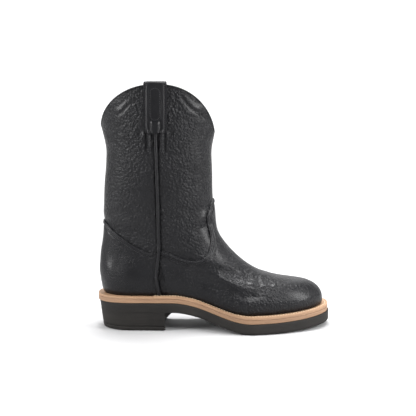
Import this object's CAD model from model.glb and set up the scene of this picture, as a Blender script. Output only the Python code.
import math

import bpy
import numpy as np
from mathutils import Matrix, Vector
from mathutils.kdtree import KDTree


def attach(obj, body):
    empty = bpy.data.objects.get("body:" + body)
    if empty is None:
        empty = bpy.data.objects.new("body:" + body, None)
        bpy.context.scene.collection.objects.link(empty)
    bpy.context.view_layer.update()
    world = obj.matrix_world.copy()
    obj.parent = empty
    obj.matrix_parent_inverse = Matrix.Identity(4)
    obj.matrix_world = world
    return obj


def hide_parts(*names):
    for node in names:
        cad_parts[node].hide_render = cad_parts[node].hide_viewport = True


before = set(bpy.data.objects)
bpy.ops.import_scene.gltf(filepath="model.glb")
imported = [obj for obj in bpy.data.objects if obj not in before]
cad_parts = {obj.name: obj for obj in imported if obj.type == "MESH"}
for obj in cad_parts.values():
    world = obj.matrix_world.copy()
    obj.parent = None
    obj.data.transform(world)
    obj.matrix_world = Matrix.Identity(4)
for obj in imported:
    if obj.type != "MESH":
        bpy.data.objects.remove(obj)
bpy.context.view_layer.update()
root = "root"

# Sizes of the sole in metres, the same as the solids have
sole = {
    "length": 0.300, "ball": 0.112, "waist": 0.066, "heel": 0.070, "waistSwing": 0.004, "toeSwing": 0.011,
    "toeSpring": 0.006, "outsole": 0.012, "forefootExtra": 0.001, "midsole": 0.005, "welt": 0.0035,
    "rand": 0.0028, "insole": 0.003, "heelBlock": 0.0172, "topLift": 0.0054, "heelLength": 0.0885,
    "setIn": 0.002, "taperBack": 0.007, "taperSide": 0.003, "breastHollow": 0.003, "wedge": 0.009,
    "insetBack": 0.0004, "insetFront": 0.0012, "weltStart": 0.0735, "gap": 0.0003, "heelAt": 0.14,
    "waistAt": 0.42, "ballAt": 0.68, "seatEnd": 0.32, "forefootStart": 0.655, "springStart": 0.70,
}
# Sizes of the upper in metres
upper = {
    "wall": 0.0024, "footHeight": 0.090, "instepHeight": 0.065, "shaftHeight": 0.122, "shaftDepth": 0.138,
    "shaftWidth": 0.094, "scallop": 0.053, "seamAt": 0.078, "overlay": 0.0014, "stripWidth": 0.0038,
    "tabWidth": 0.028, "tabLength": 0.057, "tabThickness": 0.0022, "tabOverStrip": 0.012,
}
heelLift = sole["heelBlock"] + sole["topLift"] + 2 * sole["gap"]
heelTop = heelLift + sole["outsole"]
outerSide, innerSide = -1, 1


def ease(t):
    return 0.5 - 0.5 * np.cos(math.pi * np.clip(t, 0, 1))


def lerp(a, b, t):
    return a + (b - a) * t


def bump(t):
    return np.exp(-np.square(t))


# Heights of the sole's layers at a distance from the back of the heel

def soleRise(x):
    s = np.asarray(x) / sole["length"]
    seat = 1 - ease((s - sole["seatEnd"]) / (sole["forefootStart"] - sole["seatEnd"]))
    spring = np.clip((s - sole["springStart"]) / (1 - sole["springStart"]), 0, 1) ** 2
    return heelLift * seat + sole["toeSpring"] * spring


def outsoleTop(x):
    s = np.asarray(x) / sole["length"]
    extra = ease((s - sole["waistAt"]) / (sole["ballAt"] - sole["waistAt"]))
    return soleRise(x) + sole["outsole"] + sole["forefootExtra"] * extra


def midsoleTop(x):
    return outsoleTop(x) + sole["gap"] + sole["midsole"]


def weltTop(x):
    return midsoleTop(x) + sole["gap"] + sole["welt"]


def swing(x):
    s = np.asarray(x) / sole["length"]
    waist = ease((s - sole["heelAt"]) / (sole["waistAt"] - sole["heelAt"]))
    toe = ease((s - sole["waistAt"]) / (1 - sole["waistAt"]))
    return -sole["waistSwing"] * waist + (sole["waistSwing"] + sole["toeSwing"]) * toe


def halfWidth(loop, s):
    waist = lerp(loop["heel"], loop["waist"], ease((s - sole["heelAt"]) / (sole["waistAt"] - sole["heelAt"])))
    half = lerp(waist, loop["ball"], ease((s - sole["waistAt"]) / (sole["ballAt"] - sole["waistAt"])))
    power = loop["fullness"]
    back = np.clip(1 - s / loop["backRound"], 0, 1)
    front = np.clip(1 - (1 - s) / loop["frontRound"], 0, 1)
    return half * (1 - back ** power) ** (1 / power) * (1 - front ** power) ** (1 / power)


def loopPlan(loop, theta):
    s = 0.5 - 0.5 * np.cos(theta)
    x = lerp(loop["back"], loop["front"], s)
    side = np.where(np.sin(theta) > 0, outerSide, innerSide)
    return x, swing(x) * loop["follow"] + side * halfWidth(loop, s), s


soleLoop = {"back": 0.0, "front": sole["length"], "backRound": 0.15, "frontRound": 0.35, "fullness": 2.2,
            "follow": 1.0, "heel": sole["heel"] / 2, "waist": sole["waist"] / 2, "ball": sole["ball"] / 2}

# Loops of the last and of the shaft: shares of the named sizes, from the welt up
footColumns = ("back", "backRise", "front", "frontRise", "heel", "waist", "ball",
               "backRound", "frontRound", "fullness", "follow")
footLoops = [
    (0.0315, 0.007, 0.9637, 0.009, 0.810, 0.820, 0.830, 0.15, 0.35, 2.20, 1.00),
    (0.0245, 0.067, 0.9675, 0.090, 0.895, 0.890, 0.875, 0.15, 0.35, 2.20, 1.00),
    (0.0177, 0.200, 0.9635, 0.205, 0.937, 0.950, 0.885, 0.15, 0.35, 2.20, 1.00),
    (0.0128, 0.333, 0.9490, 0.322, 0.922, 0.950, 0.815, 0.17, 0.37, 2.20, 0.90),
    (0.0153, 0.467, 0.9110, 0.448, 0.895, 0.935, 0.735, 0.22, 0.42, 2.20, 0.80),
    (0.0187, 0.600, 0.8500, 0.518, 0.866, 0.950, 0.640, 0.28, 0.50, 2.10, 0.65),
    (0.0252, 0.733, 0.7640, 0.615, 0.880, 0.995, 0.605, 0.34, 0.50, 2.05, 0.50),
    (0.0295, 0.867, 0.6800, 0.759, 0.925, 1.060, 0.651, 0.42, 0.50, 2.00, 0.35),
    (0.0310, 1.000, 0.6100, 0.966, 0.965, 1.100, 0.660, 0.47, 0.50, 2.00, 0.20),
]
shaftColumns = ("back", "backRise", "front", "frontRise", "width", "fullness", "follow", "scallop")
shaftLoops = [
    (0.509, 0.098, 0.630, 0.082, 0.805, 2.0, 0.10, 0.00),
    (0.507, 0.197, 0.550, 0.177, 0.835, 2.0, 0.05, 0.00),
    (0.504, 0.295, 0.522, 0.313, 0.870, 2.0, 0.00, 0.00),
    (0.496, 0.443, 0.509, 0.510, 0.920, 2.0, 0.00, 0.00),
    (0.482, 0.639, 0.503, 0.735, 0.958, 2.0, 0.00, 0.12),
    (0.480, 0.770, 0.501, 0.891, 0.975, 2.0, 0.00, 0.38),
    (0.524, 1.000, 0.525, 1.034, 1.000, 2.0, 0.00, 1.00),
]
scallopShape = {"softness": 0.12, "skewBack": 0.05, "skewFront": 0.14}


def footLoop(row):
    loop = dict(zip(footColumns, row))
    for end in ("back", "front"):
        loop[end] *= sole["length"]
    loop["backZ"] = weltTop(loop["back"]) + loop["backRise"] * upper["footHeight"]
    loop["frontZ"] = weltTop(loop["front"]) + loop["frontRise"] * upper["instepHeight"]
    for part in ("heel", "waist", "ball"):
        loop[part] *= sole[part] / 2
    loop["scallop"] = 0
    return loop


def shaftLoop(row):
    loop = dict(zip(shaftColumns, row))
    loop["back"] = upper["seamAt"] - loop["back"] * upper["shaftDepth"]
    loop["front"] = upper["seamAt"] + loop["front"] * upper["shaftDepth"]
    frontHeight = upper["shaftHeight"] + upper["footHeight"] - upper["instepHeight"]
    loop["backZ"] = weltTop(loop["back"]) + upper["footHeight"] + loop["backRise"] * upper["shaftHeight"]
    loop["frontZ"] = weltTop(loop["front"]) + upper["instepHeight"] + loop["frontRise"] * frontHeight
    loop["heel"] = loop["waist"] = loop["ball"] = loop["width"] * upper["shaftWidth"] / 2
    loop["backRound"] = loop["frontRound"] = 0.5
    return loop


loops = [footLoop(row) for row in footLoops] + [shaftLoop(row) for row in shaftLoops]
topLevel = len(loops) - 1
outlineY = loopPlan(soleLoop, 2 * math.pi * np.arange(90) / 90)[1]
centre = np.array([(sole["length"] + sole["insetBack"]) / 2, (outlineY.max() + outlineY.min()) / 2, 0.0])
seamMiddle = upper["seamAt"] - centre[0]
seatHeight = float(weltTop(0))


def loopPoints(loop, theta):
    x, y, s = loopPlan(loop, theta)
    chord = lerp(weltTop(loop["back"]), weltTop(loop["front"]), s)
    z = lerp(loop["backZ"], loop["frontZ"], s) + loop["follow"] * (weltTop(x) - chord)
    soft = scallopShape["softness"]
    crest = np.sqrt(np.sin(theta) ** 2 + soft ** 2) - soft
    crest /= math.sqrt(1 + soft ** 2) - soft
    forward = -np.cos(theta)
    crest *= 1 + forward * np.where(forward > 0, scallopShape["skewFront"], scallopShape["skewBack"])
    return np.stack([x, y, z + loop["scallop"] * upper["scallop"] * crest], axis=-1)


# Theta runs once round the boot from the heel's back along the outer side; a level is a loop of the tables
def surface(theta, level):
    theta, level = np.broadcast_arrays(np.asarray(theta, float), np.asarray(level, float))
    control = np.stack([loopPoints(loop, theta) for loop in loops])
    control = np.concatenate([2 * control[:1] - control[1:2], control, 2 * control[-1:] - control[-2:-1]])
    k = np.clip(np.floor(level).astype(int), 0, len(loops) - 2)
    f = (level - k)[..., None]
    pick = np.indices(k.shape)
    p0, p1, p2, p3 = (control[(k + i, *pick)] for i in range(4))
    t01, t12, t23 = (np.sqrt(np.linalg.norm(b - a, axis=-1, keepdims=True)) + 1e-9
                     for a, b in ((p0, p1), (p1, p2), (p2, p3)))
    m1 = ((p1 - p0) / t01 - (p2 - p0) / (t01 + t12) + (p2 - p1) / t12) * t12
    m2 = ((p2 - p1) / t12 - (p3 - p1) / (t12 + t23) + (p3 - p2) / t23) * t12
    made = ((2 * f ** 3 - 3 * f ** 2 + 1) * p1 + (f ** 3 - 2 * f ** 2 + f) * m1
            + (3 * f ** 2 - 2 * f ** 3) * p2 + (f ** 3 - f ** 2) * m2)
    return made - centre


def outward(theta, level):
    step = 1e-3
    low = np.maximum(np.asarray(level, float) - step, 0)
    high = np.minimum(np.asarray(level, float) + step, topLevel)
    around = surface(theta + step, level) - surface(theta - step, level)
    n = np.cross(around, surface(theta, high) - surface(theta, low))
    n /= np.linalg.norm(n, axis=-1, keepdims=True)
    n[..., 2] *= np.clip(level, 0, 1)
    return n / np.linalg.norm(n, axis=-1, keepdims=True)


# Theta and level of the points that the side view shows at x and z on one side, by a few steps of Newton
coarseTheta, coarseLevel = np.meshgrid(np.linspace(0.08, math.pi - 0.08, 60), np.linspace(0, topLevel, 76))
coarsePoint = {}


def findOn(x, z, side):
    x, z = np.atleast_1d(np.asarray(x, float)), np.atleast_1d(np.asarray(z, float))
    turned = coarseTheta if side == outerSide else 2 * math.pi - coarseTheta
    if side not in coarsePoint:
        coarsePoint[side] = surface(turned, coarseLevel)
    seen = coarsePoint[side][..., [0, 2]].reshape(-1, 2)
    best = np.argmin((seen[None, :, 0] - x[:, None]) ** 2 + (seen[None, :, 1] - z[:, None]) ** 2, axis=1)
    theta, level = turned.ravel()[best].copy(), coarseLevel.ravel()[best].copy()
    low, high = (0.03, math.pi - 0.03) if side == outerSide else (math.pi + 0.03, 2 * math.pi - 0.03)
    for _ in range(8):
        here = surface(theta, level)
        e = 1e-4
        dt = (surface(theta + e, level) - here) / e
        back = np.where(level > topLevel - 1e-3, -e, e)
        dl = (surface(theta, level + back) - here) / back[:, None]
        wx, wz = x - here[:, 0], z - here[:, 2]
        det = dt[:, 0] * dl[:, 2] - dt[:, 2] * dl[:, 0]
        det = np.where(np.abs(det) < 1e-9, 1e-9, det)
        theta = np.clip(theta + np.clip((wx * dl[:, 2] - wz * dl[:, 0]) / det, -0.1, 0.1), low, high)
        level = np.clip(level + np.clip((dt[:, 0] * wz - dt[:, 2] * wx) / det, -0.6, 0.6), 0, topLevel)
    return theta, level


# Distance in the side view from points to a line of (x, z) points, and how far along it each lies
def lineDistance(x, z, line):
    line = np.asarray(line, float)
    best, along = np.full(np.shape(x), 1e3), np.zeros(np.shape(x))
    lengths = np.hypot(*np.diff(line, axis=0).T)
    run = 0.0
    for (ax, az), (bx, bz), length in zip(line, line[1:], lengths):
        t = np.clip(((x - ax) * (bx - ax) + (z - az) * (bz - az)) / length ** 2, 0, 1)
        d = np.hypot(x - ax - t * (bx - ax), z - az - t * (bz - az))
        along = np.where(d < best, (run + t * length) / lengths.sum(), along)
        best = np.minimum(best, d)
        run += length
    return best, along


# The leather's creases, by hand: line in the side view, half width, rise (below zero in a trough), and the
# sides that have it
creases = [
    ([(-0.0885, 0.2905), (-0.1045, 0.283), (-0.1145, 0.273), (-0.1235, 0.2685)], 0.0018, -0.0009, "both"),
    ([(-0.0438, 0.3005), (-0.0388, 0.289), (-0.0276, 0.2768), (-0.018, 0.2725), (-0.012, 0.262)],
     0.0018, -0.0009, "both"),
    ([(-0.0850, 0.2925), (-0.1035, 0.2862), (-0.1150, 0.2765), (-0.1270, 0.2725)], 0.0030, 0.0005, "both"),
    ([(-0.0468, 0.3035), (-0.0362, 0.2918), (-0.0250, 0.2800), (-0.0120, 0.2760)], 0.0030, 0.0005, "both"),
    ([(-0.0795, 0.2550), (-0.0795, 0.2240)], 0.0016, 0.0017, "both"),
    ([(-0.0647, 0.2550), (-0.0647, 0.2240)], 0.0016, 0.0017, "both"),
    ([(-0.0835, 0.2530), (-0.0828, 0.2275), (-0.0790, 0.2245)], 0.0014, -0.0010, "both"),
    ([(-0.0607, 0.2530), (-0.0614, 0.2275), (-0.0650, 0.2245)], 0.0014, -0.0006, "both"),
    ([(-0.0890, 0.2520), (-0.0930, 0.2455)], 0.0030, -0.0009, "both"),
    ([(-0.0555, 0.2520), (-0.0515, 0.2455)], 0.0030, -0.0009, "both"),
    ([(-0.0200, 0.2490), (-0.0080, 0.2530), (0.0000, 0.2570)], 0.0050, -0.0012, "both"),
    ([(-0.1180, 0.2560), (-0.1270, 0.2480), (-0.1380, 0.2440)], 0.0060, -0.0010, "both"),
    ([(-0.0380, 0.1440), (-0.0180, 0.1520), (-0.0020, 0.1640)], 0.0060, -0.0010, "both"),
    ([(-0.0300, 0.1240), (-0.0120, 0.1300), (0.0060, 0.1440)], 0.0050, -0.0009, "outer"),
    ([(-0.0320, 0.1220), (-0.0100, 0.1260), (0.0060, 0.1390)], 0.0050, -0.0011, "inner"),
    ([(-0.1330, 0.1500), (-0.1130, 0.1460), (-0.0960, 0.1500)], 0.0060, -0.0009, "both"),
    ([(-0.1340, 0.1300), (-0.1160, 0.1250), (-0.0980, 0.1270)], 0.0060, -0.0008, "inner"),
    ([(-0.0440, 0.0700), (-0.0080, 0.0620), (0.0300, 0.0480), (0.0640, 0.0380)], 0.0090, -0.0013, "outer"),
    ([(-0.0440, 0.0720), (-0.0080, 0.0660), (0.0300, 0.0520), (0.0640, 0.0410)], 0.0090, -0.0012, "inner"),
    ([(0.0480, 0.0700), (0.0560, 0.0600), (0.0600, 0.0480)], 0.0042, -0.0009, "outer"),
    ([(0.0610, 0.0660), (0.0680, 0.0570), (0.0700, 0.0470)], 0.0038, -0.0007, "outer"),
    ([(0.0500, 0.0700), (0.0600, 0.0590), (0.0660, 0.0480)], 0.0044, -0.0010, "inner"),
    ([(0.0340, 0.0780), (0.0420, 0.0690), (0.0450, 0.0590)], 0.0045, -0.0007, "both"),
    ([(0.0180, 0.0890), (0.0250, 0.0790), (0.0270, 0.0700)], 0.0055, 0.0004, "both"),
    ([(-0.1380, 0.0900), (-0.1240, 0.0840), (-0.1120, 0.0860)], 0.0080, -0.0005, "both"),
]
# How a crease fades: over shares of its length at its ends, and over widths to the boot's middle and far side
creaseFade = {"ends": 0.22, "middle": 0.012, "farSide": 0.02, "flank": 0.35, "flankAt": 2.1, "waves": 0.00012}
# The leather dips beside the strip over the side seam
seamDip = {"width": 0.0008, "depth": 0.0010, "beside": 0.0004, "from": 0.045, "upTo": 0.2495, "fade": 0.004}


def relief(points):
    x, y, z = points[..., 0], points[..., 1], points[..., 2]
    made = np.zeros(x.shape)
    share = lerp(0.5, 1, ease(np.abs(y) / creaseFade["middle"]))
    far = creaseFade["farSide"]
    masks = {"both": 1.0, "outer": ease(-y / far), "inner": ease(y / far)}
    for line, width, rise, where in creases:
        d, along = lineDistance(x, z, line)
        fade = ease(along / creaseFade["ends"]) * ease((1 - along) / creaseFade["ends"])
        section = bump(d / width) - creaseFade["flank"] * bump((d - creaseFade["flankAt"] * width) / width)
        made += rise * section * fade * masks[where] * share
    waves = np.sin(x * 71 + z * 53 + y * 20) * np.sin(z * 88 - x * 31 + 1.1)
    waves += 0.6 * np.sin(z * 137 + y * 64 + x * 22)
    made += creaseFade["waves"] * waves * np.clip((z - 0.04) / 0.05, 0, 1)
    return made * np.clip((z - 0.034) / 0.012, 0, 1)


# Meshes

def makeObject(name, points, faces, finish, uv=None, sharp=None, indices=None):
    mesh = bpy.data.meshes.new(name)
    mesh.from_pydata([tuple(p) for p in points], [], [tuple(int(i) for i in face) for face in faces])
    for each in (finish if isinstance(finish, list) else [finish]):
        mesh.materials.append(each)
    if indices is not None:
        mesh.polygons.foreach_set("material_index", indices)
    if uv is not None:
        mesh.uv_layers.new(name="UVMap").data.foreach_set("uv", np.asarray(uv, float).ravel())
    mesh.shade_smooth()
    if sharp:
        mesh.set_sharp_from_angle(angle=math.radians(sharp))
    obj = bpy.data.objects.new(name, mesh)
    bpy.context.scene.collection.objects.link(obj)
    return obj


# A skin over rows of points, with UV in metres; it may close round, and either end may get a cap
def loft(name, rows, finish, around=True, caps=None, sharp=None, flip=False, along=False):
    rows = np.asarray(rows, float)
    count, high = rows.shape[1], rows.shape[0]
    points = rows.reshape(-1, 3)
    nextPoint = np.roll(rows, -1, axis=1)
    across = np.linalg.norm(nextPoint - rows, axis=-1).max(axis=0)
    u = np.concatenate([[0], np.cumsum(across)])
    upward = np.linalg.norm(np.roll(rows, -1, axis=0) - rows, axis=-1).mean(axis=1)
    v = np.concatenate([[0], np.cumsum(upward)])
    faces, uv = [], []
    for j in range(high if along else high - 1):
        j2 = (j + 1) % high
        for i in range(count if around else count - 1):
            k = (i + 1) % count
            quad = [(j * count + i, u[i], v[j]), (j * count + k, u[i + 1], v[j]),
                    (j2 * count + k, u[i + 1], v[j + 1]), (j2 * count + i, u[i], v[j + 1])]
            quad = quad[::-1] if flip else quad
            faces.append([q[0] for q in quad])
            uv += [q[1:] for q in quad]
    for end in caps or []:
        base, turn = (0, True) if end in ("low", "rungsLow") else ((high - 1) * count, False)
        if end.startswith("rungs"):
            made = []
            for i in range(count // 2):
                made.append([i, i + 1, count - i - 1, count - i] if i else [0, 1, count - 1])
            made[-1] = [count // 2 - 1, count // 2, count // 2 + 1]
        else:
            made = [list(range(count))]
        for face in made:
            face = [base + i for i in face]
            face = face[::-1] if turn != flip else face
            faces.append(face)
            uv += [(points[i][0], points[i][1]) for i in face]
    return makeObject(name, points, faces, finish, uv, sharp)


def done(piece, slot, *nodes):
    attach(piece, root)
    if nodes:
        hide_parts(*nodes)
    return piece


# Shader maths as plain arithmetic on sockets

def plug(tree, socket, value):
    if isinstance(value, Sock):
        tree.links.new(value.socket, socket)
    else:
        socket.default_value = value


class Sock:
    def __init__(self, tree, socket):
        self.tree, self.socket = tree, socket

    def maths(self, operation, *values, clamp=False):
        node = self.tree.nodes.new("ShaderNodeMath")
        node.operation, node.use_clamp = operation, clamp
        for place, value in enumerate(values):
            plug(self.tree, node.inputs[place], value)
        return Sock(self.tree, node.outputs[0])

    def __add__(self, other):
        return self.maths("ADD", self, other)

    def __radd__(self, other):
        return self.maths("ADD", other, self)

    def __sub__(self, other):
        return self.maths("SUBTRACT", self, other)

    def __rsub__(self, other):
        return self.maths("SUBTRACT", other, self)

    def __mul__(self, other):
        return self.maths("MULTIPLY", self, other)

    def __rmul__(self, other):
        return self.maths("MULTIPLY", other, self)

    def __pow__(self, other):
        return self.maths("POWER", self, other)

    def clamped(self):
        return self.maths("ADD", self, 0.0, clamp=True)


class Finish:
    def __init__(self, name, colour, roughness):
        self.material = bpy.data.materials.new(name)
        self.material.use_nodes = True
        self.material.diffuse_color = (*colour, 1)
        self.tree = self.material.node_tree
        self.shader = self.tree.nodes["Principled BSDF"]
        self.feed("Base Color", (*colour, 1))
        self.feed("Roughness", roughness)

    def feed(self, name, value):
        plug(self.tree, self.shader.inputs[name], value)

    def node(self, kind, settings, inputs, output=0):
        made = self.tree.nodes.new(kind)
        for key, value in settings.items():
            setattr(made, key, value)
        for key, value in inputs.items():
            plug(self.tree, made.inputs[key], value)
        return Sock(self.tree, made.outputs[output])

    def place(self, output="Object"):
        return self.node("ShaderNodeTexCoord", {}, {}, output)

    def noise(self, where, scale, detail=3.0, roughness=0.5, output=0):
        inputs = {"Vector": where, "Scale": scale, "Detail": detail, "Roughness": roughness}
        return self.node("ShaderNodeTexNoise", {}, inputs, output)

    def cells(self, where, scale, smoothness):
        inputs = {"Vector": where, "Scale": scale, "Smoothness": smoothness}
        return self.node("ShaderNodeTexVoronoi", {"feature": "SMOOTH_F1"}, inputs)

    def stretched(self, where, scale):
        return self.node("ShaderNodeVectorMath", {"operation": "MULTIPLY"}, {0: where, 1: scale})

    def mixed(self, factor, low, high):
        return self.node("ShaderNodeMix", {"data_type": "RGBA"}, {0: factor, 6: (*low, 1), 7: (*high, 1)}, 2)

    def bumped(self, height, strength, distance):
        inputs = {"Strength": strength, "Distance": distance, "Height": height}
        self.feed("Normal", self.node("ShaderNodeBump", {}, inputs))


# Pebbled leather: cells are pebbles in a metre, depth is how far they stand proud. Drift bends the pebbles
# out of their grid, and smoothFrom says where along X the grain fades out and how far.
leather = {"colour": (0.0030, 0.0030, 0.0040), "worn": (0.0075, 0.0075, 0.0092), "roughness": 0.36,
           "coat": 0.10, "coatRoughness": 0.20, "specular": 0.20, "drift": 0.0012, "smallCells": 2.3}


def pebbledLeather(name, cells, depth, smoothFrom=None):
    made = Finish(name, leather["colour"], leather["roughness"])
    where = made.place()
    drift = made.noise(where, 240.0, 2.0, output=1)
    place = made.node("ShaderNodeVectorMath", {"operation": "MULTIPLY_ADD"},
                      {0: drift, 1: (leather["drift"],) * 3, 2: where})
    pebble = made.cells(place, float(cells), 0.55)
    small = made.cells(place, cells * leather["smallCells"], 0.5)
    patches = made.noise(where, 26.0, 2.0)
    fine = made.noise(where, 2600.0, 2.0)
    full = ((patches - 0.30) * 2.4).clamped()
    if smoothFrom:
        start, end, share = smoothFrom
        x = made.node("ShaderNodeSeparateXYZ", {}, {0: where})
        full = full * (1.0 - ((x - start) * (1 / (end - start))).clamped() * share)
    dome = 1.0 - pebble * 1.25
    height = dome * (0.35 + full * 0.65) + (1.0 - small) * 0.28 + fine * 0.06
    made.bumped(height, 1.0, depth)
    rubbed = (full * (pebble ** 2.0) * 0.6).clamped()
    tone = (made.noise(where, 60.0, 4.0) - 0.35) * 0.9 + rubbed * 0.25
    made.feed("Base Color", made.mixed(tone, leather["colour"], leather["worn"]))
    made.feed("Roughness", 0.35 + patches * 0.10 + rubbed * 0.18)
    made.feed("Specular IOR Level", leather["specular"])
    made.feed("Coat Weight", leather["coat"])
    made.feed("Coat Roughness", leather["coatRoughness"])
    return made.material


shaftLeather = pebbledLeather("black pebbled shaft leather", 320, 0.0016)
vampLeather = pebbledLeather("black pebbled vamp leather", 340, 0.0013, smoothFrom=(0.040, 0.105, 0.85))
counterLeather = pebbledLeather("black smooth counter leather", 620, 0.0007)
trimLeather = pebbledLeather("black strap leather", 800, 0.00035)


# Cut leather edge: lines are its layers in a metre of UV, drawn out along the edge
def cutEdgeLeather(name, light, dark, lines):
    made = Finish(name, light, 0.62)
    where = made.place("UV")
    long = made.noise(made.stretched(where, (28.0, lines, 1.0)), 1.0, 4.0, 0.65)
    fine = made.noise(made.stretched(where, (160.0, lines * 2.5, 1.0)), 1.0, 3.0, 0.6)
    cloud = made.noise(made.place(), 34.0, 3.0)
    tone = ((long - 0.5) * 1.5 + (fine - 0.5) * 0.8 + (cloud - 0.5) * 0.9 + 0.42).clamped()
    made.feed("Base Color", made.mixed(tone, light, dark))
    made.feed("Roughness", 0.52 + fine * 0.2)
    made.bumped(long * 0.6 + fine * 0.4, 0.6, 0.00035)
    made.feed("Coat Weight", 0.12)
    made.feed("Coat Roughness", 0.35)
    return made.material


weltLeather = cutEdgeLeather("natural welt leather", (0.40, 0.245, 0.142), (0.215, 0.118, 0.064), 700.0)
midsoleLeather = cutEdgeLeather("natural midsole leather edge", (0.33, 0.197, 0.112), (0.165, 0.090, 0.049),
                                1100.0)
insoleLeather = cutEdgeLeather("undyed insole leather", (0.52, 0.37, 0.24), (0.40, 0.27, 0.17), 240.0)


def soleRubber():
    made = Finish("matte black rubber", (0.040, 0.038, 0.035), 0.72)
    where = made.place()
    cloud = made.noise(where, 42.0, 4.0)
    drag = made.noise(made.stretched(where, (40.0, 40.0, 420.0)), 1.0, 3.0)
    grit = made.noise(where, 1900.0, 3.0, 0.7)
    tone = ((cloud - 0.5) * 1.3 + (drag - 0.5) * 0.6 + 0.45).clamped()
    made.feed("Base Color", made.mixed(tone, (0.010, 0.0092, 0.0085), (0.023, 0.0208, 0.0188)))
    made.feed("Roughness", 0.62 + cloud * 0.2)
    made.bumped(grit * 0.5 + drag * 0.5, 0.5, 0.0003)
    made.feed("Specular IOR Level", 0.25)
    return made.material


def liningLeather():
    made = Finish("tan lining leather", (0.46, 0.33, 0.22), 0.75)
    where = made.place()
    cloud, nap = made.noise(where, 30.0, 4.0), made.noise(where, 900.0, 3.0, 0.65)
    tone = (cloud * 0.7 + nap * 0.3).clamped()
    made.feed("Base Color", made.mixed(tone, (0.52, 0.38, 0.26), (0.36, 0.25, 0.165)))
    made.bumped(nap, 0.5, 0.0004)
    return made.material


def waxedThread(name, colour):
    made = Finish(name, colour, 0.45)
    twist = made.noise(made.place(), 1800.0, 2.0)
    dark, light = (tuple(min(1.0, c * share) for c in colour) for share in (0.75, 1.3))
    made.feed("Base Color", made.mixed(twist, dark, light))
    made.bumped(twist, 0.4, 0.0002)
    return made.material


rubber = soleRubber()
lining = liningLeather()
blackThread = waxedThread("black waxed thread", (0.020, 0.020, 0.023))
paleThread = waxedThread("natural waxed thread", (0.62, 0.47, 0.31))
print("materials ready")


# Stitches: one small round stitch on every step of a line, by geometry nodes

def stitchTree():
    tree = bpy.data.node_groups.new("stitch row", "GeometryNodeTree")
    interface, nodes, links = tree.interface, tree.nodes, tree.links
    interface.new_socket("Geometry", in_out="INPUT", socket_type="NodeSocketGeometry")
    sizes = {}
    for name, value in (("Pitch", 0.0024), ("Length", 0.0019), ("Thickness", 0.0006)):
        sizes[name] = interface.new_socket(name, in_out="INPUT", socket_type="NodeSocketFloat")
        sizes[name].default_value = value
    sizes["Thread"] = interface.new_socket("Thread", in_out="INPUT", socket_type="NodeSocketMaterial")
    interface.new_socket("Geometry", in_out="OUTPUT", socket_type="NodeSocketGeometry")
    given, out = nodes.new("NodeGroupInput"), nodes.new("NodeGroupOutput")
    curve = nodes.new("GeometryNodeMeshToCurve")
    spaced = nodes.new("GeometryNodeResampleCurve")
    spaced.mode = "LENGTH"
    ball = nodes.new("GeometryNodeMeshUVSphere")
    ball.inputs["Segments"].default_value, ball.inputs["Rings"].default_value = 6, 5
    ball.inputs["Radius"].default_value = 0.5
    scale = nodes.new("ShaderNodeCombineXYZ")
    tangent = nodes.new("GeometryNodeInputTangent")
    turn = nodes.new("FunctionNodeAlignRotationToVector")
    turn.axis = "Z"
    put = nodes.new("GeometryNodeInstanceOnPoints")
    real = nodes.new("GeometryNodeRealizeInstances")
    paint = nodes.new("GeometryNodeSetMaterial")
    smooth = nodes.new("GeometryNodeSetShadeSmooth")
    for start, leaves, end, enters in (
            (given, "Geometry", curve, "Mesh"), (curve, "Curve", spaced, "Curve"),
            (given, "Pitch", spaced, "Length"), (spaced, "Curve", put, "Points"),
            (ball, "Mesh", smooth, "Geometry"), (smooth, "Geometry", put, "Instance"),
            (tangent, "Tangent", turn, "Vector"), (turn, "Rotation", put, "Rotation"),
            (given, "Thickness", scale, "X"), (given, "Thickness", scale, "Y"), (given, "Length", scale, "Z"),
            (scale, "Vector", put, "Scale"), (put, "Instances", real, "Geometry"),
            (real, "Geometry", paint, "Geometry"), (given, "Thread", paint, "Material"),
            (paint, "Geometry", out, "Geometry")):
        links.new(start.outputs[leaves], end.inputs[enters])
    return tree, {name: socket.identifier for name, socket in sizes.items()}


stitchNodes, stitchInputs = stitchTree()
fineStitch = {"pitch": 0.0021, "length": 0.0016, "thickness": 0.0005}
weltStitch = {"pitch": 0.0036, "length": 0.0031, "thickness": 0.0011}


def stitchRows(name, lines, thread, slot, pitch=0.0024, length=0.0019, thickness=0.0006):
    points, edges = [], []
    for line in lines:
        edges += [(len(points) + i, len(points) + i + 1) for i in range(len(line) - 1)]
        points += [tuple(p) for p in line]
    mesh = bpy.data.meshes.new(name + "-lines")
    mesh.from_pydata(points, edges, [])
    rows = bpy.data.objects.new(name + "-lines", mesh)
    bpy.context.scene.collection.objects.link(rows)
    modifier = rows.modifiers.new("stitches", "NODES")
    modifier.node_group = stitchNodes
    for key, value in (("Pitch", pitch), ("Length", length), ("Thickness", thickness), ("Thread", thread)):
        modifier[stitchInputs[key]] = value
    bpy.context.view_layer.update()
    made = bpy.data.meshes.new_from_object(rows.evaluated_get(bpy.context.evaluated_depsgraph_get()))
    made.name = name
    bpy.data.objects.remove(rows)
    piece = bpy.data.objects.new(name, made)
    bpy.context.scene.collection.objects.link(piece)
    return done(piece, slot)


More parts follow.
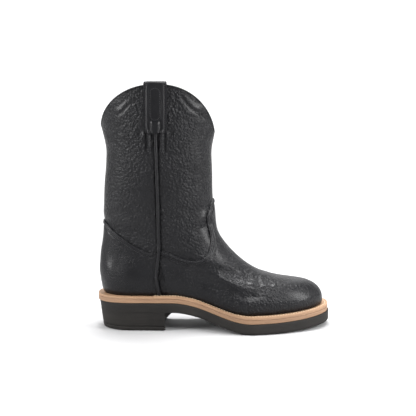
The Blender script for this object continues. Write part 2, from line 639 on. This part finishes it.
# Vamp and counter: their edges in the side view, as shares of the shaft's depth and of the foot's height, and
# the seam's run as shares of the foot's height and of the strip's width. The ridge and the trough beside the
# swept edge have a distance from it, a half width and a rise.
overlays = {
    "tongue": [(0.515, 1.349), (0.442, 1.098)],
    "vamp": [(0.442, 1.098), (0.465, 0.928), (0.484, 0.766), (0.476, 0.670), (0.451, 0.580), (0.406, 0.532),
             (0.338, 0.510), (0.282, 0.517), (0.214, 0.545), (0.158, 0.578), (0.106, 0.612), (0.042, 0.645)],
    "counter": [(-0.059, 0.610), (-0.150, 0.659), (-0.242, 0.732), (-0.337, 0.828), (-0.420, 0.926),
                (-0.505, 1.046)],
    "seam": [(0.00, 0.80), (0.07, 0.60), (0.15, 0.20), (0.26, -0.12), (0.40, 0.18), (0.58, 0.68),
             (0.70, 0.80), (0.95, 0.66), (1.30, 0.58), (1.75, 0.32), (2.30, 0.00)],
    "round": 0.0010, "stitchRows": (0.0016, 0.0054), "columns": 380, "ringStep": 0.0014, "seamGap": 0.0006,
    "ridge": (0.0035, 0.0013, 0.00075), "trough": (0.0066, 0.0012, -0.00085), "threadDip": 0.00022,
    "sunkEdge": 0.0003, "sunkUnder": 0.0004, "shortestRow": 12,
}


def sweep(points, steps=6):
    ends = [np.subtract(np.multiply(points[0], 2), points[1]), *map(np.array, points),
            np.subtract(np.multiply(points[-1], 2), points[-2])]
    made = []
    for a, b, c, d in zip(ends, ends[1:], ends[2:], ends[3:]):
        for t in np.arange(steps) / steps:
            made.append(0.5 * (2 * b + (c - a) * t + (2 * a - 5 * b + 4 * c - d) * t ** 2
                               + (3 * b - a - 3 * c + d) * t ** 3))
    return np.array(made + [np.array(points[-1], float)])


def sideView(points):
    points = np.asarray(points, float)
    return np.stack([seamMiddle + points[:, 0] * upper["shaftDepth"],
                     seatHeight + points[:, 1] * upper["footHeight"]], axis=1)


seamLine = sweep(overlays["seam"])


def seamX(height):
    up = (np.asarray(height, float) - seatHeight) / upper["footHeight"]
    return seamMiddle + upper["stripWidth"] * np.interp(up, seamLine[:, 0], seamLine[:, 1])


def seamGroove(points):
    x, z = points[..., 0], points[..., 2]
    away = np.abs(np.abs(x - seamX(z)) - upper["stripWidth"] / 2 - seamDip["beside"])
    dip = -seamDip["depth"] * bump(away / seamDip["width"])
    return dip * ease((seamDip["upTo"] - z) / seamDip["fade"]) * ease((z - seamDip["from"]) / seamDip["fade"])


# The hollow upper

upperMesh = {"columns": 370, "ringStep": 0.0015, "innerRings": 46, "crowding": 0.34, "overMidsole": 0.0006}


# Levels a step apart on the side or the front, whichever runs longer there
def levelsFor(step, high=topLevel):
    fine = np.linspace(0.0, high, 1500)
    side, front = (surface(np.full(1500, turn), fine) for turn in (math.pi / 2, math.pi))
    sideRun, frontRun = (np.linalg.norm(np.diff(line, axis=0), axis=1) for line in (side, front))
    run = np.maximum(sideRun, 0.8 * frontRun)
    total = np.concatenate([[0], np.cumsum(run)])
    count = max(3, int(round(total[-1] / step)))
    return np.interp(np.linspace(0, total[-1], count + 1), total, fine)


# Columns round the boot, closer together where the plan turns sharply, at the back and the front
def crowded(count):
    turn = 2 * math.pi * np.arange(count) / count
    return turn + upperMesh["crowding"] * np.sin(2 * turn) / 2


def makeUpper():
    theta = crowded(upperMesh["columns"])
    outer = levelsFor(upperMesh["ringStep"])
    inner = np.linspace(0, topLevel, upperMesh["innerRings"])
    t, l = np.meshgrid(theta, outer)
    skin, n = surface(t, l), outward(t, l)
    face = skin + n * (relief(skin) + seamGroove(skin))[..., None]
    t2, l2 = np.meshgrid(theta, inner[::-1])
    lined = surface(t2, l2) - outward(t2, l2) * upper["wall"]
    foot, footIn = face[:1].copy(), lined[-1:].copy()
    for row in (foot, footIn):
        row[..., 2] = midsoleTop(row[..., 0] + centre[0]) + upperMesh["overMidsole"]
    rows = np.concatenate([foot, face, lined, footIn])
    high, count = rows.shape[:2]
    faces, index = [], []
    for j in range(high):
        j2 = (j + 1) % high
        for i in range(count):
            k = (i + 1) % count
            faces.append((j * count + i, j * count + k, j2 * count + k, j2 * count + i))
            index.append(1 if j > len(outer) else 0)
    piece = makeObject("bootUpper", rows.reshape(-1, 3), faces, [shaftLeather, lining], sharp=50,
                       indices=index)
    done(piece, "black_leather", "upper")


makeUpper()
print("upper ready")


def seamEdge(top, side):
    heights = np.linspace(top, float(weltTop(upper["seamAt"])), 30)
    return np.stack([seamX(heights) + side * overlays["seamGap"], heights], axis=1)


def insidePolygon(x, z, polygon):
    inside = np.zeros(x.shape, bool)
    for (ax, az), (bx, bz) in zip(polygon, np.roll(polygon, -1, axis=0)):
        crossing = (az > z) != (bz > z)
        with np.errstate(divide="ignore", invalid="ignore"):
            at = ax + (z - az) / (bz - az) * (bx - ax)
        inside ^= crossing & (x < at)
    return inside


# Cuts triangles along one value of a field; the line between is kept as edges
def splitAt(points, faces, values, cut, snap):
    points, values = list(points), [cut if abs(v - cut) < snap else float(v) for v in values]
    made, kept = {}, []

    def crossing(a, b):
        key = (min(a, b), max(a, b))
        if key not in made:
            t = (cut - values[a]) / (values[b] - values[a])
            points.append(points[a] + (points[b] - points[a]) * t)
            values.append(cut)
            made[key] = len(points) - 1
        return made[key]

    for face in faces:
        signs = [(values[i] > cut) - (values[i] < cut) for i in face]
        if min(signs) >= 0 or max(signs) <= 0:
            kept.append(face)
            continue
        for side in (1, -1):
            shape = []
            for i in range(3):
                a, b = face[i], face[(i + 1) % 3]
                if signs[i] * side >= 0:
                    shape.append(a)
                if signs[i] * signs[(i + 1) % 3] < 0:
                    shape.append(crossing(a, b))
            kept += [(shape[0], shape[i], shape[i + 1]) for i in range(1, len(shape) - 1)]
    return np.array(points), kept, np.array(values)


def cutLine(faces, values, cut):
    edges = set()
    for face in faces:
        on = [i for i in face if values[i] == cut]
        if len(on) == 2 and max(values[i] for i in face) > cut:
            edges.add((min(on), max(on)))
    return edges


def chained(edges):
    near = {}
    for a, b in edges:
        near.setdefault(a, []).append(b)
        near.setdefault(b, []).append(a)
    left, chains = set(edges), []
    starts = [i for i in near if len(near[i]) != 2] + list(near)
    for start in starts:
        while True:
            chain, here = [start], start
            while True:
                step = next((n for n in near[here] if (min(n, here), max(n, here)) in left), None)
                if step is None:
                    break
                left.discard((min(step, here), max(step, here)))
                chain.append(step)
                here = step
            if len(chain) < 2:
                break
            chains.append(chain)
    return chains


def distanceTo(points, places, cap=0.02):
    tree = KDTree(len(places))
    for i, place in enumerate(places):
        tree.insert(place, i)
    tree.balance()
    return np.array([min(tree.find(p)[2], cap) for p in points])


def densified(positions, edges, steps=8):
    return [lerp(positions[a], positions[b], t / steps) for a, b in edges for t in range(steps)]


def makeOverlay(name, node, polygon, edgeLine, sweepOnly, thetaRange, highest, finish):
    count = overlays["columns"]
    theta = np.linspace(*thetaRange, int(count * (thetaRange[1] - thetaRange[0]) / (2 * math.pi)))
    levels = levelsFor(overlays["ringStep"], highest)
    t, l = np.meshgrid(theta, levels)
    param = np.stack([t.ravel(), l.ravel()], axis=1)
    wide, high = len(theta), len(levels)
    faces = []
    for j in range(high - 1):
        for i in range(wide - 1):
            a, b, c, d = j * wide + i, j * wide + i + 1, (j + 1) * wide + i + 1, (j + 1) * wide + i
            faces += [(a, b, c), (a, c, d)]
    seen = surface(param[:, 0], param[:, 1])
    d = lineDistance(seen[:, 0], seen[:, 2], edgeLine)[0]
    d = np.where(insidePolygon(seen[:, 0], seen[:, 2], polygon), d, -d)
    param, faces, d = splitAt(param, faces, d, 0.0, 0.00012)
    faces = [face for face in faces if min(d[i] for i in face) >= 0 and max(d[i] for i in face) > 0]
    rim = cutLine(faces, d, 0.0)
    place = surface(param[:, 0], param[:, 1])
    rimPoints = densified(place, rim)
    sweptRim = [p for p in rimPoints if lineDistance(p[0], p[2], sweepOnly)[0] < 0.0006]
    used = sorted({i for face in faces for i in face})
    renumber = {i: n for n, i in enumerate(used)}
    param = param[used]
    faces = [tuple(renumber[i] for i in face) for face in faces]
    rim = {(renumber[a], renumber[b]) for a, b in rim}
    onRim = {i for edge in rim for i in edge}
    place = surface(param[:, 0], param[:, 1])
    d = distanceTo(place, rimPoints)
    d[list(onRim)] = 0
    r = overlays["round"]
    for cut in (0.18 * r, 0.55 * r, r):
        param, faces, d = splitAt(param, faces, d, cut, 0.00006)
    lines = {}
    swept = distanceTo(surface(param[:, 0], param[:, 1]), sweptRim)
    for cut in overlays["stitchRows"]:
        param, faces, swept = splitAt(param, faces, swept, cut, 0.00012)
        lines[cut] = cutLine(faces, swept, cut)
    place = surface(param[:, 0], param[:, 1])
    d, swept = distanceTo(place, rimPoints), distanceTo(place, sweptRim)
    d[list(onRim)] = 0
    n = outward(param[:, 0], param[:, 1])
    rise = sole["gap"] + upper["overlay"] + overlays["sunkEdge"]
    lift = rise * np.sqrt(1 - (1 - np.clip(d / r, 0, 1)) ** 2) - overlays["sunkEdge"]
    lift += sum(up * bump((swept - at) / width) for at, width, up in (overlays["ridge"], overlays["trough"]))
    for cut in overlays["stitchRows"]:
        lift -= overlays["threadDip"] * bump((swept - cut) / 0.0005) * (swept < 0.015)
    bend = relief(place) + seamGroove(place)
    top = place + n * (bend + lift)[:, None]
    under = place + n * (np.minimum(bend, bend + lift) - overlays["sunkUnder"])[:, None]
    size = len(top)
    whole = list(faces) + [tuple(i + size for i in face[::-1]) for face in faces]
    # an edge that only one face has gets a wall down to the underside
    runs = dict.fromkeys((face[i], face[(i + 1) % 3]) for face in faces for i in range(3))
    whole += [(b, a, a + size, b + size) for a, b in runs if (b, a) not in runs]
    done(makeObject(name, np.concatenate([top, under]), whole, finish, sharp=60), "black_leather", node)
    rows = []
    for cut in overlays["stitchRows"]:
        for chain in chained(lines[cut]):
            if len(chain) > overlays["shortestRow"]:
                rows.append([top[i] + n[i] * 0.00012 for i in chain])
    return rows


# A point well past the end of a line, in the line's own direction
def beyond(start, end):
    return end + (end - start) / np.linalg.norm(end - start) * upper["shaftDepth"] / 4


vampLine, tongue = sideView(sweep(overlays["vamp"])), sideView(overlays["tongue"])
vampSweep = np.concatenate([[beyond(tongue[1], tongue[0])], vampLine])
vampEdge = np.concatenate([vampSweep, seamEdge(vampLine[-1][1], 1)])
vampPolygon = np.concatenate([vampEdge, [(vampEdge[-1][0], 0.0), (0.3, 0.0), (0.3, vampSweep[0][1])]])
counterLine = sideView(sweep(overlays["counter"]))
counterSweep = np.concatenate([counterLine, [beyond(counterLine[-2], counterLine[-1])]])
counterEdge = np.concatenate([seamEdge(counterLine[0][1], -1)[::-1], counterSweep])
counterPolygon = np.concatenate([counterEdge, [(counterEdge[-1][0], 0.0), (counterEdge[0][0], 0.0)]])

vampRows = makeOverlay("bootVamp", "vamp", vampPolygon, vampEdge, vampSweep, (1.15, 2 * math.pi - 1.15), 14.0,
                       vampLeather)
counterRows = makeOverlay("bootCounter", "counter", counterPolygon, counterEdge, counterSweep, (-1.95, 1.95),
                          13.0, counterLeather)
stitchRows("vampStitches", vampRows, blackThread, "black_leather")
stitchRows("counterStitches", counterRows, blackThread, "black_leather")
print("vamp and counter ready")


# Points on one side that show at x and z in the side view, out over the leather's face
def sidePoints(x, z, side, out):
    theta, level = findOn(x, z, side)
    base = surface(theta, level)
    return base + outward(theta, level) * (np.asarray(out) + relief(base))[:, None]


# Height of the collar over the side seam, by steps of Newton
def collarTop(side):
    theta = np.array([math.pi / 2 if side == outerSide else 1.5 * math.pi])
    level = np.array([float(topLevel)])
    for _ in range(30):
        here = surface(theta, level)
        slope = (surface(theta + 1e-4, level) - here) / 1e-4
        theta = theta + (seamMiddle - here[:, 0]) / slope[:, 0]
    return float(here[0, 2])


# Section of the strip: half widths across and height over its seat, from its edge to its lit ridge
strip = {"step": 0.0016, "sunk": -0.0012, "overVamp": 0.001, "dropLength": 0.005, "startUp": 0.0006,
         "section": [(1, 0.0006), (0.93, 0.0011), (0.78, 0.0014), (0.55, 0.00145), (0.38, 0.0018),
                     (0.0, 0.0021)]}


def makeStrip(name, node, side):
    low = float(weltTop(upper["seamAt"])) + strip["startUp"]
    high = collarTop(side) - upper["tabLength"] + upper["tabOverStrip"]
    heights = np.linspace(low, high, int((high - low) / strip["step"]))
    edge = sideView([overlays["vamp"][-1]])[0][1]
    drop = ease((heights - edge - strip["overVamp"]) / strip["dropLength"])
    lift = lerp(2 * sole["gap"] + upper["overlay"], sole["gap"], drop)
    half = upper["stripWidth"] / 2
    section = [(-1, strip["sunk"]), (1, strip["sunk"]), *strip["section"]]
    section += [(-across, up) for across, up in strip["section"][-2::-1]]
    rows = [sidePoints(seamX(heights) + across * half, heights, side, lift + up) for across, up in section]
    rows = np.array(rows).transpose(1, 0, 2)
    piece = loft(name, rows, trimLeather, caps=["low", "high"], sharp=50, flip=side == outerSide)
    done(piece, "black_leather", node)


makeStrip("sideStripOuter", "side_strip_outer", outerSide)
makeStrip("sideStripInner", "side_strip_inner", innerSide)


# Rows of stitches beside the two ridges under a pull tab, and along the creases that follow the collar
tails = {"ridges": (-0.0795, -0.0647), "beside": 0.0013, "top": 0.251, "bottom": 0.2255, "points": 40}


def flatRows(lines, side, out):
    made = []
    for line in lines:
        line = np.asarray(line, float)
        lengths = np.concatenate([[0], np.cumsum(np.hypot(*np.diff(line, axis=0).T))])
        steps = np.linspace(0, 1, tails["points"]) * lengths[-1]
        x, z = (np.interp(steps, lengths, line[:, i]) for i in (0, 1))
        made.append(list(sidePoints(x, z, side, np.full(tails["points"], out))))
    return made


tailRows = []
for side in (outerSide, innerSide):
    for x in tails["ridges"]:
        flanks = (x - tails["beside"], x + tails["beside"])
        lines = [[(flank, tails["top"]), (flank, tails["bottom"])] for flank in flanks]
        tailRows += flatRows(lines, side, 0.0003)
    tailRows += flatRows([creases[0][0], creases[1][0]], side, 0.0001)
stitchRows("shaftStitches", tailRows, blackThread, "black_leather", **fineStitch)


# Rolled edge round the collar
bead = {"clearance": 0.00045, "height": 0.0022, "lip": 0.0006, "sunk": 0.0005, "squareness": 0.8,
        "columns": 300}


def squared(value):
    return math.copysign(abs(value) ** bead["squareness"], value)


def makeBead():
    theta = crowded(bead["columns"])
    level = np.full(bead["columns"], float(topLevel))
    edge, n = surface(theta, level), outward(theta, level)
    half = upper["wall"] / 2
    rows = []
    for turn in np.linspace(0, 2 * math.pi, 15)[:-1]:
        across = (half + bead["lip"]) * squared(math.cos(turn)) - half
        up = bead["height"] * (0.5 + 0.5 * squared(math.sin(turn))) - bead["sunk"]
        rows.append(edge + n * across + np.array([0, 0, bead["clearance"] + up]))
    done(loft("collarBead", rows, trimLeather, along=True), "black_leather", "collar_bead")


makeBead()


# Pull tabs: a strap folded over the collar, with an arch over the strip's end
tab = {"edgeRound": 0.0007, "hump": 0.0024, "humpReach": 0.0135, "stadiumWidth": 0.0115,
       "stadiumHigh": 0.0385, "stadiumUp": 0.0345, "edgeRow": 0.0026, "clearance": 0.0005, "rows": 60,
       "halfColumns": 18, "threadOut": 0.0001}


def tabSide(side):
    top, half, columns = collarTop(side), upper["tabWidth"] / 2, tab["halfColumns"]
    outer = bead["lip"] + tab["clearance"]
    radius = upper["wall"] / 2 + outer
    heights = np.linspace(top - upper["tabLength"], top - 0.0002, tab["rows"])
    across = np.linspace(-1, 1, 2 * columns + 1) * half
    # the stadium of stitches, its bare face a little sunk
    sx, sz = tab["stadiumWidth"] / 2, tab["stadiumHigh"] / 2
    mid = top - upper["tabLength"] + tab["stadiumUp"]

    def skin(z):
        theta, level = findOn(seamMiddle + across, np.full(len(across), min(z, top - 0.0001)), side)
        return surface(theta, level), outward(theta, level)

    rowsOut, rowsIn = [], []
    edge = np.clip((half - np.abs(across)) / tab["edgeRound"], 0, 1)
    thickness = upper["tabThickness"] * (1 - (1 - np.sqrt(1 - (1 - edge) ** 2)) * 0.45)
    for z in heights:
        base, n = skin(z)
        arch = float(1 - ease((z - heights[0] - tab["humpReach"] + 0.002) / 0.004))
        hump = arch * tab["hump"] * (1 - ease((np.abs(across) - 0.0030) / 0.0034))
        d = np.hypot(across, max(abs(z - mid) - (sz - sx), 0)) - sx
        dent = -0.0006 * bump(d / 0.0008) - 0.0003 * (d < 0) * (1 - bump(d / 0.0012))
        dent += -0.00065 * bump((np.abs(across) - (half - tab["edgeRow"])) / 0.0007)
        dent += 0.00055 * bump((np.abs(across) - 0.0088) / 0.0012)
        under = outer + hump + relief(base)
        rowsIn.append(base + n * under[:, None])
        rowsOut.append(base + n * (under + thickness + dent)[:, None])
    # the fold over the collar, then the inner leg
    base, n = skin(top)
    flat = n * np.array([1, 1, 0])
    flat /= np.linalg.norm(flat, axis=1, keepdims=True)
    start = base - flat * upper["wall"] / 2 + np.array([0, 0, bead["clearance"] + bead["height"] / 2])
    for turn in np.linspace(0, math.pi, 17)[1:-1]:
        out = flat * math.cos(turn) + np.array([0, 0, math.sin(turn)])
        rowsIn.append(start + out * radius)
        rowsOut.append(start + out * (radius + thickness)[:, None])
    for z in heights[::-1]:
        base, n = skin(z)
        rowsIn.append(base - n * (upper["wall"] + outer))
        rowsOut.append(base - n * (upper["wall"] + outer + thickness)[:, None])
    rows = np.array([np.concatenate([a, b[::-1]]) for a, b in zip(rowsIn, rowsOut)])
    # the stitches lie on the mesh of the outer leg: a row at each edge, and the stadium
    leg = np.array(rowsOut[:tab["rows"]])
    out = np.array([0, side * tab["threadOut"], 0])
    fromMiddle = columns * (1 - tab["edgeRow"] / half)
    stitches = [[p + out for p in leg[1:, int(round(columns + sign * fromMiddle))]] for sign in (-1, 1)]
    stadium = []
    last = tab["rows"] - 1
    for a in np.linspace(0, 2 * math.pi, 73):
        z = mid + sx * math.sin(a) + (sz - sx) * (1 if math.sin(a) > 0 else -1)
        i = np.clip((z - heights[0]) / (heights[-1] - heights[0]) * last, 0, last - 0.01)
        k = np.clip((sx * math.cos(a) / half + 1) * columns, 0, 2 * columns - 0.01)
        i0, k0 = int(i), int(k)
        low, high = (lerp(leg[j, k0], leg[j, k0 + 1], k - k0) for j in (i0, i0 + 1))
        stadium.append(lerp(low, high, i - i0) + out)
    return rows, stitches + [stadium]


for side, name, node in ((outerSide, "pullTabOuter", "pull_tab_outer"),
                         (innerSide, "pullTabInner", "pull_tab_inner")):
    rows, tabStitches = tabSide(side)
    piece = loft(name, rows, trimLeather, caps=["low", "high"], sharp=55, flip=side == innerSide)
    done(piece, "black_leather", node)
    stitchRows(name + "Stitches", tabStitches, blackThread, "black_leather", **fineStitch)
print("seams, collar and tabs ready")


# The sole

soleMesh = {"steps": 360, "bevel": 0.00035}


def insetPlan(loop, theta, distance):
    step = 1e-4
    x, y, _ = loopPlan(loop, theta)
    ahead, behind = loopPlan(loop, theta + step), loopPlan(loop, theta - step)
    run = np.stack([ahead[0] - behind[0], ahead[1] - behind[1]], axis=-1)
    run /= np.linalg.norm(run, axis=-1, keepdims=True)
    return x - run[:, 1] * distance, y + run[:, 0] * distance


def ring(loop, theta, inset, height):
    x, y = insetPlan(loop, theta, inset)
    return np.stack([x, y, height(x)], axis=-1) - centre


def heelInset(theta, height):
    s = 0.5 - 0.5 * np.cos(theta)
    down = 1 - height / heelTop
    back = lerp(sole["setIn"], sole["taperBack"], down)
    return lerp(back, sole["taperSide"] * down, ease(s / sole["heelAt"]))


# Rings at distances in from the outline and at heights over a base
def stacked(loop, theta, inset, base, section):
    return [ring(loop, theta, inset + across, lambda x: base(x) + up) for across, up in section]


def soleLayer(name, rows, finish, sharp, slot, node):
    done(loft(name, rows, finish, caps=["rungsLow", "rungsHigh"], sharp=sharp), slot, node)


def makeSole():
    theta = 2 * math.pi * np.arange(soleMesh["steps"]) / soleMesh["steps"]
    s = 0.5 - 0.5 * np.cos(theta)
    b = soleMesh["bevel"]
    seat = 1 - ease((s - sole["heelLength"] / sole["length"]) / 0.1)
    low, high = (heelInset(theta, h) * seat for h in (heelLift, heelTop))
    front = 1 - seat
    rows = [ring(soleLoop, theta, low + 0.012, soleRise),
            ring(soleLoop, theta, low + 0.0016 * front + 0.0002, soleRise),
            ring(soleLoop, theta, low + 0.0006 * front, lambda x: soleRise(x) + 0.0005),
            ring(soleLoop, theta, low, lambda x: soleRise(x) + 0.0016)]
    for f in (0.25, 0.5, 0.75, 0.94):
        height = lambda x: lerp(soleRise(x) + 0.0016, outsoleTop(x), f)
        rows.append(ring(soleLoop, theta, lerp(low, high, f), height))
    rows += [ring(soleLoop, theta, high + across, outsoleTop) for across in (0.0003, 0.008)]
    soleLayer("outsole3", rows, rubber, 40, "rubber", "outsole")
    inset, thick = lerp(sole["insetBack"], sole["insetFront"], s), sole["midsole"]
    section = [(0.010, 0), (b, 0), (b * 0.25, b * 0.3), (0, b), (0.00005, 0.0016), (0.00025, 0.0025),
               (0.00005, 0.0034), (0, thick - b), (b * 0.25, thick - b * 0.3), (b, thick), (0.012, thick)]
    rows = stacked(soleLoop, theta, inset, lambda x: outsoleTop(x) + sole["gap"], section)
    soleLayer("midsoleEdge", rows, midsoleLeather, 60, "tan_leather", "midsole")
    inset, thick = upper["wall"] + 0.0007, sole["insole"]
    section = [(0.006, 0), (0.0, 0), (0.0, thick - 0.0005), (0.0005, thick), (0.006, thick)]
    rows = stacked(loops[0], theta, inset, lambda x: midsoleTop(x) + sole["gap"], section)
    soleLayer("insole3", rows, insoleLeather, 60, "insole_leather", "insole")


makeSole()


def jointAngle():
    return math.acos(1 - 2 * sole["weltStart"] / sole["length"])


def makeEdgeStrip(name, node, start, end, thickness, finish):
    theta = np.linspace(start, end, int(soleMesh["steps"] * (end - start) / (2 * math.pi)))
    inset = lerp(sole["insetBack"], sole["insetFront"], 0.5 - 0.5 * np.cos(theta))
    b, base = soleMesh["bevel"], lambda x: midsoleTop(x) + sole["gap"]
    rows = stacked(loops[0], theta, -0.0002, base, [(0, 0.0), (0, thickness)])
    # the groove of the stitches, then the rounded edge with a faint hollow
    section = [(0.0045, thickness), (0.0035, thickness - 0.0003), (0.0025, thickness), (b, thickness),
               (b * 0.25, thickness - b * 0.3), (0, thickness - b), (0.00015, thickness * 0.5), (0, b),
               (b * 0.25, b * 0.3), (b, 0)]
    rows = np.array(rows + stacked(soleLoop, theta, inset, base, section)).transpose(1, 0, 2)
    piece = loft(name, rows, finish, caps=["low", "high"], sharp=45, flip=True)
    # the layers run along the strip, so its UV is turned: along first, then across
    layer = piece.data.uv_layers[0].data
    flat = np.zeros(len(layer) * 2)
    layer.foreach_get("uv", flat)
    layer.foreach_set("uv", flat.reshape(-1, 2)[:, ::-1].ravel())
    done(piece, "tan_leather", node)


joint = jointAngle()
makeEdgeStrip("weltStrip", "welt", joint + 0.002, 2 * math.pi - joint - 0.002, sole["welt"], weltLeather)
makeEdgeStrip("heelRand", "heel_rand", -joint + 0.002, joint - 0.002, sole["rand"], weltLeather)
weltTheta = np.linspace(joint + 0.02, 2 * math.pi - joint - 0.02, 500)
weltInset = lerp(sole["insetBack"], sole["insetFront"], 0.5 - 0.5 * np.cos(weltTheta))
weltRow = ring(soleLoop, weltTheta, weltInset + 0.0035, lambda x: weltTop(x) - 0.0001)
stitchRows("weltStitches", [list(weltRow)], paleThread, "tan_leather", **weltStitch)


def heelPlan(height, inset=0.0):
    corner = math.acos(1 - 2 * (sole["heelLength"] - inset) / sole["length"])
    theta = np.linspace(-corner, corner, 141)
    x, y = insetPlan(soleLoop, theta, heelInset(theta, height) + inset)
    arc = np.linspace(y[-1], y[0], 41)[1:-1]
    reach = 2 * (arc - y[-1]) / (y[0] - y[-1]) - 1
    x = np.concatenate([x, x[0] - sole["breastHollow"] * (1 - reach ** 2)])
    y = np.concatenate([y, arc])
    return np.stack([x, y, np.full(len(x), height)], axis=-1) - centre


def makeHeel():
    low, high = sole["topLift"] + sole["gap"], heelLift - 0.00002
    rows = [heelPlan(low, 0.0006), heelPlan(low + 0.0004, 0.0001), heelPlan(low + 0.001)]
    rows += [heelPlan(lerp(low, high, f)) for f in (0.3, 0.6, 0.9)] + [heelPlan(high, 0.0)]
    done(loft("heelStack", rows, rubber, caps=["low", "high"], sharp=35), "rubber", "heel_block")
    top = sole["topLift"]
    rows = [heelPlan(0, 0.0016), heelPlan(0.0003, 0.0007), heelPlan(0.0011, 0.0001), heelPlan(0.002),
            heelPlan(top - 0.0008), heelPlan(top - 0.0003, 0.0002), heelPlan(top, 0.0007)]
    done(loft("heelTopLift", rows, rubber, caps=["low", "high"], sharp=35), "rubber", "top_lift")
    # the wedge in the corner between the breast and the outsole
    half, breast, wedge = sole["heel"] / 2 - 0.005, sole["heelLength"], sole["wedge"]
    start = breast - sole["breastHollow"] - 0.009
    y = np.linspace(-half, half, 12)
    rows = []
    for x, z in ((start, high), (start, high - wedge), (breast + 0.0005, high - wedge),
                 (breast + 0.0012, high - wedge + 0.0008), (breast + wedge - 0.001, high - 0.0008),
                 (breast + wedge, high)):
        rows.append(np.stack([np.full(12, x), y, np.full(12, z)], axis=-1) - centre)
    rows = np.array(rows).transpose(1, 0, 2)
    done(loft("heelBreastWedge", rows, rubber, caps=["low", "high"], sharp=35), "rubber", "heel_block")


makeHeel()
print("sole ready")


# Studio: a pale sweep, soft light and the camera of the photograph
studio = {"floor": (0.44, 0.44, 0.445), "world": 0.20, "farGlow": 0.85, "under": -0.0003, "wallAt": 3.0,
          "bend": 0.8, "cameraAt": (-0.00803, -0.90178, 0.24914), "pitch": 3.477, "lens": 60.56,
          "shift": -0.08}


def makeBackdrop():
    bend, under, start = studio["bend"], studio["under"], studio["wallAt"] - studio["bend"]
    profile = [(-3.0, under), (start, under)]
    for turn in np.linspace(0, math.pi / 2, 13)[1:]:
        profile.append((start + bend * math.sin(turn), bend - bend * math.cos(turn) + under))
    profile.append((studio["wallAt"], 3.0))
    rows = np.array([[(x, y, z) for x in (-4.0, 4.0)] for y, z in profile])
    made = Finish("pale studio paper", studio["floor"], 0.9)
    shade = made.noise(made.place(), 3.0, 2.0)
    made.feed("Base Color", made.mixed(shade, (0.435, 0.435, 0.44), (0.445, 0.445, 0.45)))
    away = made.node("ShaderNodeVectorMath", {"operation": "LENGTH"}, {0: made.place()}, 1)
    far = ((away - 0.7) * 0.8).clamped() * studio["farGlow"]
    made.feed("Emission Color", made.mixed(far, (0.0, 0.0, 0.0), (1.0, 1.0, 1.0)))
    made.feed("Emission Strength", 1.0)
    floor = loft("studioSweep", rows, made.material, around=False)


makeBackdrop()


for name, at, target, size, power in (
        ("overheadSoftbox", (0.1, 0.25, 1.5), (0, 0, 0.1), (1.1, 0.5), 50),
        ("leftSoftbox", (-1.15, -0.45, 0.75), (-0.05, 0, 0.17), (0.35, 0.9), 22),
        ("rightSoftbox", (1.25, -0.50, 0.65), (0, 0, 0.15), (0.35, 0.8), 24),
        ("toeSoftbox", (0.45, -0.95, 1.05), (0.08, 0, 0.05), (0.3, 0.3), 7)):
    light = bpy.data.lights.new(name, "AREA")
    light.shape, light.energy = "RECTANGLE", power
    light.size, light.size_y = size
    obj = bpy.data.objects.new(name, light)
    obj.location = at
    obj.rotation_euler = (Vector(target) - Vector(at)).to_track_quat("-Z", "Y").to_euler()
    bpy.context.scene.collection.objects.link(obj)

world = bpy.data.worlds.new("studio air")
world.use_nodes = True
air = world.node_tree.nodes["Background"].inputs
air["Color"].default_value, air["Strength"].default_value = (1, 1, 1, 1), studio["world"]
bpy.context.scene.world = world
bpy.context.scene.view_settings.view_transform = "Standard"

lensData = bpy.data.cameras.new("photo camera")
lensData.lens, lensData.sensor_width, lensData.shift_y = studio["lens"], 36.0, studio["shift"]
camera = bpy.data.objects.new("photo camera", lensData)
camera.location = studio["cameraAt"]
camera.rotation_euler = (math.radians(90 - studio["pitch"]), 0, 0)
bpy.context.scene.collection.objects.link(camera)
bpy.context.scene.camera = camera

print("studio ready")
